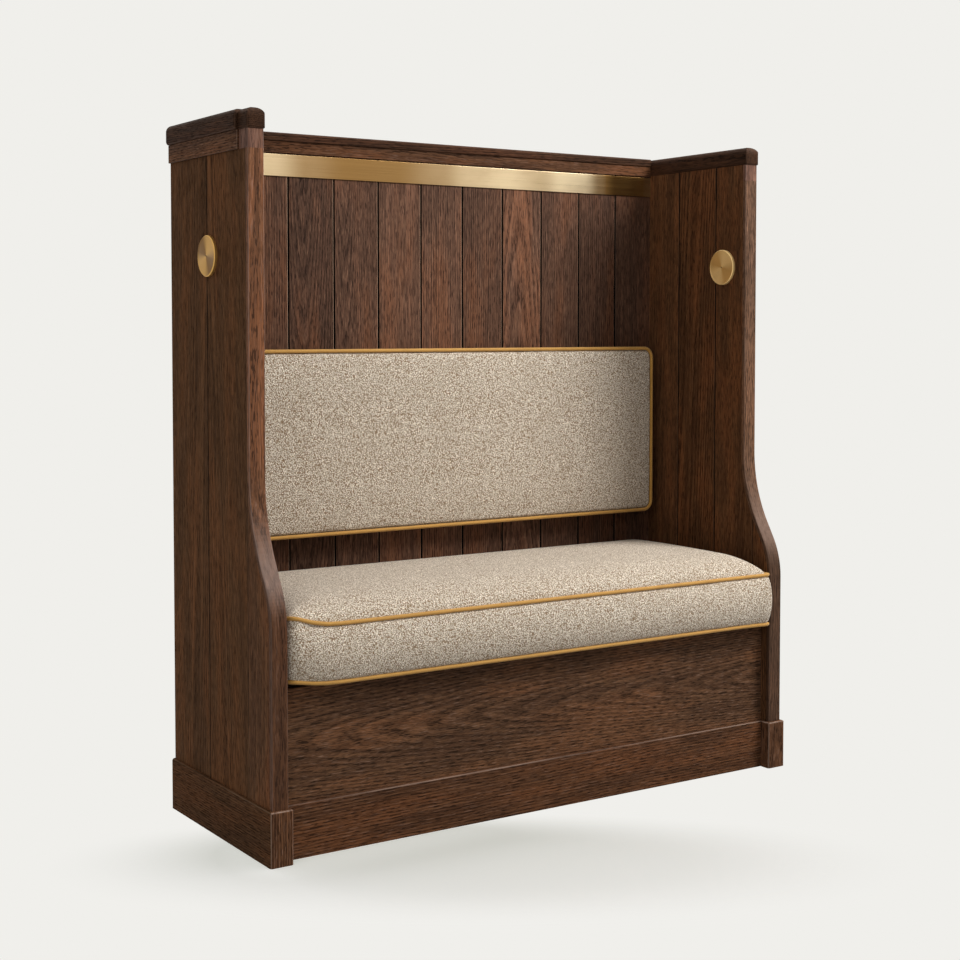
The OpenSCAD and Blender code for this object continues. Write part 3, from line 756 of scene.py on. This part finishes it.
@dataclass
class StuffedForm:
    """A boxed, stuffed form lying flat, its base at z = 0 and its middle at the origin.

    `crown` is how far the upper panel rises above its seam, within `reach` of it or `rear_reach` at the rear.
    `swell` is how far the sides bulge between the seams, and `proud` how much further the front does. The
    values from `pressure` on say how the cloth is filled, rounded and drawn in along its seams.
    """

    name: str
    width: float
    depth: float
    corner: float
    crown: float
    swell: float
    seams: tuple[float, ...]
    reach: float
    rear_reach: float
    proud: float = 0.0
    ears: Ears = Ears()
    voxel: float = 7.5 * MM
    fill: float = 0.8
    pressure: float = 4.0
    cloth_moments: int = 20
    furthest: float = 26 * MM
    roundness: float = 0.54
    folds_kept: float = 0.25
    seam_pull: float = 3.2 * MM
    seam_width: float = 5.5 * MM
    pucker: float = 0.9 * MM
    pucker_width: float = 26 * MM
    under_width: float = 25 * MM
    top: float = field(init=False)

    def __post_init__(self) -> None:
        """Take the height of the upper seam, which the filled panel rises from."""
        self.top = self.seams[-1]

    def build(self) -> Piece:
        """Cut the block, fill it and dress its seams.

        Returns:
            The finished form.
        """
        made = self._block()
        self._inflate(made)
        self._shape(made)
        finer = made.modifiers.new("finer", "SUBSURF")
        finer.levels = finer.render_levels = 1
        apply_modifiers(made)
        self._draw_in(made)
        bpy.ops.object.shade_smooth()
        return made

    def _block(self) -> Piece:
        """Return a block with round corners, in even faces of the voxel's size."""
        bpy.ops.object.select_all(action="DESELECT")
        bpy.ops.mesh.primitive_cube_add(size=1.0, location=(0.0, 0.0, self.top / 2))
        made = bpy.context.object
        made.name = self.name
        made.scale = (self.width - 2 * self.swell, self.depth - 2 * self.swell, self.top)
        bpy.ops.object.transform_apply(location=True, rotation=True, scale=True)
        bpy.ops.object.mode_set(mode="EDIT")
        select_edges(made, lambda a, b: abs(a.z - b.z) > self.top / 2)
        bpy.ops.mesh.bevel(offset=self.corner - self.swell, segments=10, affect="EDGES")
        select_edges(made, lambda a, b: abs(a.z - b.z) < self.top / 100)
        bpy.ops.mesh.bevel(offset=2.5 * MM, segments=2, affect="EDGES")
        bpy.ops.object.mode_set(mode="OBJECT")
        even = made.modifiers.new("even", "REMESH")
        even.mode = "VOXEL"
        even.voxel_size = self.voxel
        apply_modifiers(made)
        return made

    def _edge_gap(self, points: np.ndarray) -> np.ndarray:
        """Return how far inside the seams' outline each point lies, in plan.

        Args:
            points: Points, one row each.

        Returns:
            Distances in metres, 0 on the outline and more inside it.
        """
        radius = self.corner - self.swell
        half = np.array([self.width / 2 - self.swell, self.depth / 2 - self.swell]) - radius
        beyond = np.abs(points[:, :2]) - half
        outside = np.linalg.norm(np.maximum(beyond, 0), axis=1)
        inside = np.minimum(np.max(beyond, axis=1), 0)
        return radius - outside - inside

    def _inflate(self, made: Piece) -> None:
        """Fill the form: pressure inside a cloth that is held along its seams and base.

        Args:
            made: The block.
        """
        points = points_of(made)
        rim = self._edge_gap(points) < 1.3 * self.voxel
        held = points[:, 2] < 0.6 * self.voxel
        for seam in self.seams:
            held |= rim & (np.abs(points[:, 2] - seam) < 0.8 * self.voxel)
        group = made.vertex_groups.new(name="held")
        group.add([int(i) for i in np.nonzero(held)[0]], 1.0, "REPLACE")
        cloth = made.modifiers.new("cloth", "CLOTH")
        settings = cloth.settings
        settings.vertex_group_mass = group.name
        settings.effector_weights.gravity = 0.0
        settings.use_pressure = True
        settings.uniform_pressure_force = self.pressure
        settings.tension_stiffness = 18.0
        settings.compression_stiffness = 18.0
        settings.shear_stiffness = 8.0
        settings.bending_stiffness = 2.0
        cloth.collision_settings.use_collision = False
        scene = bpy.context.scene
        pick_out(made)
        for moment in range(1, self.cloth_moments + 1):
            scene.frame_set(moment)
        apply_modifiers(made)
        scene.frame_set(1)
        made.vertex_groups.clear()
        moved = points_of(made) - points
        size = np.linalg.norm(moved, axis=1)
        LOG.info("%s filled: a point moved %.1f mm at most", self.name, size.max() * 1000)
        share = self.furthest * np.tanh(size / self.furthest) / np.maximum(size, 1e-9)
        set_points(made, points + moved * share[:, None])

    def _rise(self, points: np.ndarray) -> np.ndarray:
        """Return how high the upper panel stands over each point in plan, 1 in the middle.

        Args:
            points: Points, one row each.

        Returns:
            Shares from 0 on the seam to 1.
        """
        half_x, half_y = self.width / 2 - self.swell, self.depth / 2 - self.swell
        rise = np.ones(len(points))
        for gap, reach in ((half_x - np.abs(points[:, 0]), self.reach), (half_y + points[:, 1], self.reach),
                           (half_y - points[:, 1], self.rear_reach)):
            rise *= np.sin(np.clip(gap / reach, 0, 1) ** self.roundness * math.pi / 2)
        return rise

    def _shape(self, made: Piece) -> None:
        """Bring the filled form's crown and swell to their measured sizes, folds and all.

        Args:
            made: The form.
        """
        points = points_of(made)
        self._fill_sides(points, self._raise_crown(points))
        height = eased(points[:, 2], 0.1 * self.top, 0.95 * self.top)
        set_points(made, points + self.ears.push(points, self.width / 2 - self.swell,
                                                 self.depth / 2 - self.swell, height))

    def _raise_crown(self, points: np.ndarray) -> np.ndarray:
        """Raise the upper panel to its crown, and keep a share of the cloth's own folds.

        Args:
            points: The form's points, which are moved.

        Returns:
            How far each point lies on the upper panel, from 0 to 1.
        """
        above = np.maximum(points[:, 2] - self.top, 0)
        full = above.max() > 2 * MM
        if full:
            kept = above * self.folds_kept * self.crown / above.max()
            points[:, 2] = np.minimum(points[:, 2], self.top) + kept
        rise = self._rise(points)
        on_top = eased(points[:, 2], self.top - self.voxel, self.top - 0.2 * self.voxel)
        points[:, 2] += on_top * rise * self.crown * (1 - self.folds_kept if full else 1.0)
        return on_top

    def _fill_sides(self, points: np.ndarray, on_top: np.ndarray) -> None:
        """Bulge the sides between the seams, the front most, and crown the underside.

        Args:
            points: The form's points, which are moved.
            on_top: How far each one lies on the upper panel.
        """
        radius = self.corner - self.swell
        core = np.array([self.width / 2, self.depth / 2]) - self.corner
        away = points[:, :2] - np.clip(points[:, :2], -core, core)
        reach = np.maximum(np.linalg.norm(away, axis=1), 1e-9)
        way = away / reach[:, None]
        sides = eased(reach, radius - self.voxel, radius) * (1 - on_top)
        room = self.swell + self.proud * np.clip(-way[:, 1], 0, 1)
        low = self.seams[0] if len(self.seams) > 1 else 0.0
        belly = 0.85 * np.sin(np.clip((points[:, 2] - low) / (self.top - low), 0, 1) * math.pi) ** 0.75
        folds = np.clip(0.3 * (reach - radius) / room, -0.15, 0.15)
        out = sides * (room * (belly + folds) - (reach - radius))
        points[:, :2] += way * out[:, None]
        below = np.maximum(low - points[:, 2], 0)
        inwards = np.maximum(self._edge_gap(points), 0)
        points[:, 2] += 0.85 * below * np.exp(-((inwards / self.under_width) ** 2))

    def _draw_in(self, made: Piece) -> None:
        """Pull the cloth in along its seams, with small puckers that fade away from them.

        Args:
            made: The finer form.
        """
        points = points_of(made)
        gap = self._edge_gap(points)
        normals = points_of(made, "normal")
        inwards = np.zeros(len(points))
        for seam in self.seams:
            away = np.hypot(np.minimum(gap, 1.0), points[:, 2] - seam)
            inwards += self.seam_pull * np.exp(-((away / self.seam_width) ** 2))
            wave = np.array([noise.noise(Vector((p[0] * 26, p[1] * 26, seam * 60))) for p in points])
            inwards += self.pucker * wave * np.exp(-((away / self.pucker_width) ** 2))
        set_points(made, points - normals * inwards[:, None])


@dataclass
class Upholstery:
    """A stuffed form with its rows of piping, set in place of the solids that it replaces."""

    node: str
    body: str
    form: StuffedForm
    rows: dict[str, float]
    cord: float
    place: Matrix
    wrap: float = 0.4 * MM
    cloth: Finish = LoopedWoolFinish("beige looped wool")
    trim: Finish = PipingFinish("mustard piping")

    def build(self) -> None:
        """Build the form and its piping, put them in place and let them ride."""
        cushion = self.form.build()
        self.cloth.dress(cushion)
        self._settle(cushion, self.node)
        for node, height in self.rows.items():
            level = 1.0 if height == self.form.top else 0.0
            row = Piping(node + "_cord", self.form.width - 2 * self.form.swell,
                         self.form.depth - 2 * self.form.swell, self.form.corner - self.form.swell,
                         self.cord + self.wrap, height, self.form.ears, level).build()
            self.trim.dress(row)
            self._settle(row, node)

    def _settle(self, piece: Piece, node: str) -> None:
        """Move a piece's mesh to its place and tie it to its body.

        Args:
            piece: The piece, still lying flat at the origin.
            node: The solid that it stands for.
        """
        piece.data.transform(self.place)
        piece.data.update()
        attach(piece, self.body)
        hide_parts(node)
        LOG.info("%s: %d faces, rides on %s", piece.name, len(piece.data.polygons), self.body)


@dataclass
class SeatCushion:
    """The loose seat cushion, between its box's faces."""

    swell: float = 5 * MM
    corner: float = 22 * MM
    reach: float = 90 * MM
    rear_reach: float = 30 * MM
    proud: float = 12 * MM
    fuller: float = 9 * MM
    lift: float = 3 * MM
    ears: Ears = Ears(Ear(-8 * MM, 0.0, 17 * MM, 0.5, 46 * MM), Ear(6 * MM, 3.5 * MM, 1 * MM, 0.0, 42 * MM))

    def build(self) -> None:
        """Read the cushion's box and its two rows of piping, and build it there."""
        low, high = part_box("seat_cushion")
        rows = {node: (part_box(node)[0].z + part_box(node)[1].z) / 2 - low.z
                for node in ("seat_piping_bottom", "seat_piping_top")}
        rows["seat_piping_bottom"] += self.lift
        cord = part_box("seat_piping_top")
        crown = high.z - low.z - rows["seat_piping_top"] + self.fuller
        form = StuffedForm("seat_cushion_cover", high.x - low.x, high.y - low.y, self.corner, crown,
                           self.swell, tuple(rows.values()), self.reach, self.rear_reach, self.proud,
                           self.ears)
        place = Matrix.Translation(((low.x + high.x) / 2, (low.y + high.y) / 2, low.z))
        Upholstery("seat_cushion", "loose_seat_cushion", form, rows, cord[1].z - cord[0].z, place).build()


@dataclass
class BackPad:
    """The back pad, standing on its own board against the boards of the back."""

    swell: float = 2.5 * MM
    corner: float = 24 * MM
    reach: float = 90 * MM

    def build(self) -> None:
        """Read the pad's box and its row of piping, build it flat and stand it up."""
        low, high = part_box("back_pad")
        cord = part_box("back_pad_piping")
        rows = {"back_pad_piping": high.y - (cord[0].y + cord[1].y) / 2}
        crown = high.y - low.y - rows["back_pad_piping"]
        form = StuffedForm("back_pad_cover", high.x - low.x, high.z - low.z, self.corner, crown, self.swell,
                           tuple(rows.values()), self.reach, self.reach)
        stood = Matrix.Rotation(math.pi / 2, 4, "X")
        place = Matrix.Translation(((low.x + high.x) / 2, high.y, (low.z + high.z) / 2)) @ stood
        Upholstery("back_pad", "settle", form, rows, cord[1].y - cord[0].y, place).build()


def seen_face(name: str) -> float:
    """Return the X of a side piece's seen face: an outer piece's face looks out, an inner piece's in."""
    low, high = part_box(name)
    return low.x if name.startswith("left") == ("outer" in name) else high.x


@dataclass
class Joinery:
    """All the timber: every board, rail and block gets its own piece of oak."""

    slots: dict[str, str]
    bend_low: float = 430 * MM
    bend_high: float = 710 * MM
    setback: float = 88 * MM
    seed: int = 1873
    back_bevel: float = 1.2 * MM
    side_bevel: float = 1.8 * MM
    # Painted bevel tones at the joints: a painted highlight on the back boards, painted shade on the side
    # boards.
    back_bevel_highlight: Paint = (190, 156, 130)
    side_bevel_shade: Paint = (16, 11, 8)
    # Each back board's tone; the rightmost boards are darker as painted shade from the right wing.
    back_tones_and_shade: tuple[float, ...] = (0.8, 0.76, 0.66, 0.86, 1.0, 0.94, 0.78, 0.98, 0.8, 0.62, 0.66)
    # Tones of single pieces; the top rail and the right front edge are toned down as painted shade.
    tones: dict[str, float] = field(default_factory=lambda: {
        "left_front_edge": 0.87, "right_front_edge": 0.8, "left_head_block": 1.0, "right_head_block": 1.0,
        "left_frieze": 0.96, "left_plinth_board": 0.84, "left_cap": 0.95, "front_skirting": 0.89,
        "front_panel": 1.01, "top_rail": 0.79})

    def dress(self) -> None:
        """Choose each piece's log, rings and tone, and dress it."""
        for name in sorted(self.slots):
            slot = self.slots[name]
            if slot not in ("oak_upright", "oak_level", "oak_cap", "pale_timber"):
                continue
            self._finish(name, slot).dress(frame["nodes"][name])
            LOG.info("%s dressed as %s", name, slot)

    def _grain(self, name: str, slot: str) -> Axis:
        """Return the way that a piece's grain runs: along its longest side, but upright on uprights."""
        low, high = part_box(name)
        size = high - low
        if slot == "oak_upright":
            return Axis.UP
        return Axis(max(range(3), key=lambda i: size[i]))

    def _stain(self, name: str, slot: str) -> Stain:
        """Return the stain of a piece, by where it stands and what it does."""
        for part, stain in (("outer_board", Stain.OUTER), ("plinth_board", Stain.OUTER),
                            ("back_board", Stain.BOARD), ("left_front_edge", Stain.LEFT_EDGE),
                            ("right_front_edge", Stain.RIGHT_EDGE), ("head_block", Stain.HEAD),
                            ("plinth_block", Stain.LEVEL), ("front_panel", Stain.PANEL)):
            if part in name and slot != "pale_timber":
                return stain
        return {"oak_upright": Stain.INNER, "oak_level": Stain.LEVEL, "oak_cap": Stain.CAP,
                "pale_timber": Stain.PLAIN}[slot]

    def _finish(self, name: str, slot: str) -> OakFinish:
        """Return the oak of one piece.

        Args:
            name: The piece's node.
            slot: Its material slot.

        Returns:
            The finish.
        """
        draw = random.Random(f"{self.seed} {name}")
        low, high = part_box(name)
        middle = (low + high) / 2
        size = high - low
        grain = self._grain(name, slot)
        crosswise = [axis for axis in range(3) if axis != grain.value]
        thin, wide = sorted(crosswise, key=lambda axis: size[axis])
        pith = list(middle)
        if draw.random() < 0.5:
            # Flat-sawn: the log's middle lay behind the board.
            pith[thin] += draw.choice((-1, 1)) * draw.uniform(35, 70) * MM
            pith[wide] += draw.uniform(-0.3, 0.3) * size[wide]
            lean = draw.choice((-1, 1)) * draw.uniform(0.03, 0.055)
        else:
            # Quarter-sawn: it lay beside the board.
            pith[thin] += draw.uniform(-40, 40) * MM
            pith[wide] += draw.choice((-1, 1)) * draw.uniform(120, 220) * MM
            lean = draw.uniform(-0.012, 0.012)
        stain = self._stain(name, slot)
        bend = Bend(self.bend_low, self.bend_high, self.setback) if "front_edge" in name else None
        lean_across = draw.uniform(-0.01, 0.01)
        ring = draw.uniform(3.5, 6.5) * MM
        tone = draw.uniform(0.85, 1.15)
        if name.startswith("back_board_"):
            tone = self.back_tones_and_shade[int(name.rsplit("_", 1)[1]) - 1]
        tone = self.tones.get(name, tone)
        return OakFinish(f"oak of {name}", grain, tuple(pith), (lean, lean_across), ring, stain.tones(tone),
                         stain.shine, bend, self._joint(name))

    def _joint(self, name: str) -> Optional[Joint]:
        """Return the joints beside a board, with painted shade in them and a painted bevel tone, or nothing
        for a piece that has none.
        """
        low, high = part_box(name)
        if name.startswith("back_board"):
            return Joint(Axis.DEEP, low.y, high.y - low.y, self.back_bevel, Axis.ACROSS, 1.0,
                         linear(*self.back_bevel_highlight), high.y + 10 * MM)
        if "outer_board" in name or "inner_board" in name:
            return Joint(Axis.ACROSS, seen_face(name), high.x - low.x, self.side_bevel, Axis.DEEP, -1.0,
                         linear(*self.side_bevel_shade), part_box("left_core_panel")[1].y)
        return None


@dataclass
class Brasswork:
    """The strip across the back and the discs on the sides."""

    outer: tuple[str, ...] = ("left_outer_disc", "right_outer_disc")
    inner: tuple[str, ...] = ("left_inner_disc", "right_inner_disc")

    def dress(self) -> None:
        """Brush the strip lengthwise and turn the discs."""
        low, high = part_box("brass_strip")
        # The strip's bright tone is a painted highlight.
        strip = DrawnBrass("drawn brass", tuple((low + high) / 2), linear(148, 112, 64),
                           linear(255, 232, 190), 1.0, (0.27, 0.4), reach=high.x - low.x)
        strip.dress(frame["nodes"]["brass_strip"])
        for name in self.outer:
            self._turn(name, (126, 90, 40), (216, 170, 96), 0.8)
        # The inner discs are painted brighter and less bare than the outer ones, as painted light that their
        # dark surroundings would not reflect.
        for name in self.inner:
            self._turn(name, (206, 158, 88), (255, 216, 146), 0.35)

    def _turn(self, name: str, dull: Paint, bright: Paint, bare: float) -> None:
        """Turn one disc.

        Args:
            name: Its node.
            dull: Its tone between the painted highlight wedges, in 8-bit sRGB.
            bright: Its painted highlight tone in the wedges and on the rim, in 8-bit sRGB.
            bare: How far it shines as bare metal rather than through its lacquer.
        """
        low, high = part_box(name)
        centre = (seen_face(name), (low.y + high.y) / 2, (low.z + high.z) / 2)
        brass = TurnedBrass(f"turned brass of {name}", centre, linear(*dull), linear(*bright), bare,
                            (0.4, 0.55), rim=(high.y - low.y) / 2)
        brass.dress(frame["nodes"][name])
        LOG.info("%s dressed as turned brass", name)


@dataclass
class Studio:
    """Pale floor, plain soft light and the camera; lengths in metres and angles in degrees.

    The lamps leave the floor out. It takes its shade from the sky alone, inside one ellipse in front of the
    settle and one behind it, each given by its middle and its half sizes.
    """

    ground: Tone = linear(240, 239, 235)
    bounce: Tone = (0.85, 0.85, 0.84, 1.0)
    floor_radius: float = 30.0
    lens: float = 60.791
    sensor: float = 36.0
    shift: float = -0.085
    eye: Place = (-1.93333, -2.88210, 0.99080)
    yaw: float = 33.405
    pitch: float = -2.494
    sky_low: float = 0.14
    sky_high: float = 0.82
    sky_on_floor: float = 0.638
    matt: tuple[float, float, float] = (1.35, 1.24, 1.32)
    shade_middle: Place = (-0.3, -0.41, 0.0)
    shade_half: tuple[float, float] = (0.8, 0.3)
    behind_middle: Place = (0.2, 0.27, 0.0)
    behind_half: tuple[float, float] = (0.72, 0.36)
    foot: Place = (0.64, 0.22, 10.0)
    key_place: Place = (1.95, -1.75, 3.0)
    key_aim: Place = (0.0, 0.0, 0.7)
    key_size: float = 1.6
    key_power: float = 135.0
    fill_way: Place = (-0.72, -0.45, 0.52)
    fill_power: float = 0.35
    fill_breadth: float = 80.0

    def build(self) -> None:
        """Set up the camera, the world, the lamps and the floor."""
        self._camera()
        self._world()
        self._floor()
        self._hang("key", "AREA", self.key_place, self.key_aim, shape="DISK", size=self.key_size,
                   energy=self.key_power)
        self._hang("fill", "SUN", self.fill_way, (0.0, 0.0, 0.0), energy=self.fill_power,
                   angle=math.radians(self.fill_breadth))
        bpy.context.scene.view_settings.view_transform = "Standard"

    def _camera(self) -> None:
        """Stand the camera where the photograph was taken from."""
        lens = bpy.data.cameras.new("camera")
        lens.lens = self.lens
        lens.sensor_width = self.sensor
        lens.shift_y = self.shift
        camera = bpy.data.objects.new("camera", lens)
        camera.location = self.eye
        camera.rotation_euler = Euler((math.radians(90 + self.pitch), 0.0, math.radians(-self.yaw)))
        bpy.context.scene.collection.objects.link(camera)
        bpy.context.scene.camera = camera

    def _world(self) -> None:
        """Light softly from all round, and show the pale ground to the eye and to gloss."""
        world = bpy.data.worlds.new("studio")
        bpy.context.scene.world = world
        world.use_nodes = True
        world.node_tree.nodes.clear()
        bench = Bench(world.node_tree)
        rays = bench.node("LightPath", {}).outputs
        seen = bench.math("MAXIMUM", rays["Is Camera Ray"],
                          bench.math("MAXIMUM", rays["Is Glossy Ray"], rays["Is Transmission Ray"]))
        height = bench.part(bench.node("TexCoord", {}).outputs["Generated"], 2)
        strength = bench.ease(height, -0.1, 1.0, self.sky_low, self.sky_high)
        light = bench.out("Background", {0: (1.0, 1.0, 1.0, 1.0), 1: strength})
        ground = bench.out("Background", {0: self.ground, 1: 1.0})
        bench.node("OutputWorld", {0: bench.out("MixShader", {0: seen, 1: light, 2: ground})})

    def _hang(self, name: str, kind: str, place: Place, aim: Place, **settings: object) -> None:
        """Hang a lamp where it lights the settle but not the floor, whose shade comes from the sky.

        Args:
            name: The lamp's name.
            kind: Its type.
            place: Where it hangs.
            aim: The point that it shines at.
            settings: The lamp's own settings.
        """
        lamp = bpy.data.lights.new(name, kind)
        for setting, value in settings.items():
            setattr(lamp, setting, value)
        hung = bpy.data.objects.new(name, lamp)
        hung.location = place
        hung.rotation_euler = (Vector(place) - Vector(aim)).to_track_quat("Z", "Y").to_euler()
        bpy.context.scene.collection.objects.link(hung)
        unlit = bpy.data.collections.new(f"not lit by {name}")
        unlit.objects.link(bpy.data.objects["floor"])
        unlit.collection_objects[0].light_linking.link_state = "EXCLUDE"
        hung.light_linking.receiver_collection = unlit

    def _inside(self, bench: Bench, middle: Place, half: tuple[float, float], turn: float) -> Feed:
        """Return how far a place lies from the middle of an ellipse, 1 on the ellipse itself."""
        feeds = {0: bench.place(), 1: middle, 2: (0.0, 0.0, turn), 3: (*half, 1.0)}
        return bench.length(bench.out("Mapping", feeds, vector_type="TEXTURE"))

    def _far(self, bench: Bench) -> Feed:
        """Return 0 where the floor takes the settle's shade, 1 out of its reach and a share by its foot."""
        front = self._inside(bench, self.shade_middle, self.shade_half, math.radians(-self.yaw))
        behind = self._inside(bench, self.behind_middle, self.behind_half, 0.0)
        beyond = bench.vector("SUBTRACT", bench.vector("ABSOLUTE", bench.place()), self.foot)
        gap = bench.length(bench.vector("MAXIMUM", beyond, (0.0, 0.0, 0.0)))
        return bench.math("MAXIMUM", bench.ease(bench.math("MINIMUM", front, behind), 0.45, 1.05),
                          bench.ease(gap, 0.0, 0.12, 0.4, 0.0))

    def _floor(self) -> None:
        """Lay the floor: matt where the settle's shadow falls, and the ground's own tone further out."""
        bpy.ops.object.select_all(action="DESELECT")
        bpy.ops.mesh.primitive_circle_add(vertices=96, radius=self.floor_radius, fill_type="NGON")
        floor = bpy.context.object
        floor.name = "floor"
        made = bpy.data.materials.new("pale floor")
        made.use_nodes = True
        made.node_tree.nodes.clear()
        bench = Bench(made.node_tree)
        far = self._far(bench)
        dim = tuple(c - m * self.sky_on_floor for c, m in zip(self.ground[:3], self.matt)) + (1.0,)
        glow = bench.out("Emission", {0: bench.mix(far, dim, self.ground), 1: 1.0})
        caught = bench.out("BsdfDiffuse", {0: bench.mix(far, (*self.matt, 1.0), BLACK)})
        near = bench.out("AddShader", {0: glow, 1: caught})
        even = bench.out("Emission", {0: self.ground, 1: 1.0})
        bounce = bench.out("BsdfDiffuse", {0: self.bounce})
        rays = bench.node("LightPath", {}).outputs
        unseen = bench.out("MixShader", {0: rays["Is Glossy Ray"], 1: bounce, 2: even})
        both = bench.out("MixShader", {0: rays["Is Camera Ray"], 1: unseen, 2: near})
        bench.node("OutputMaterial", {0: both})
        floor.data.materials.append(made)


def main() -> None:
    """Build every piece in order and report it."""
    logging.basicConfig(level=logging.INFO, format="%(name)s: %(message)s")
    slots = {part["node"]: part["material_slot"] for part in frame["record"]["subparts"]}
    Studio().build()
    Joinery(slots).dress()
    Brasswork().dress()
    SeatCushion().build()
    BackPad().build()


if __name__ == "__main__":
    main()
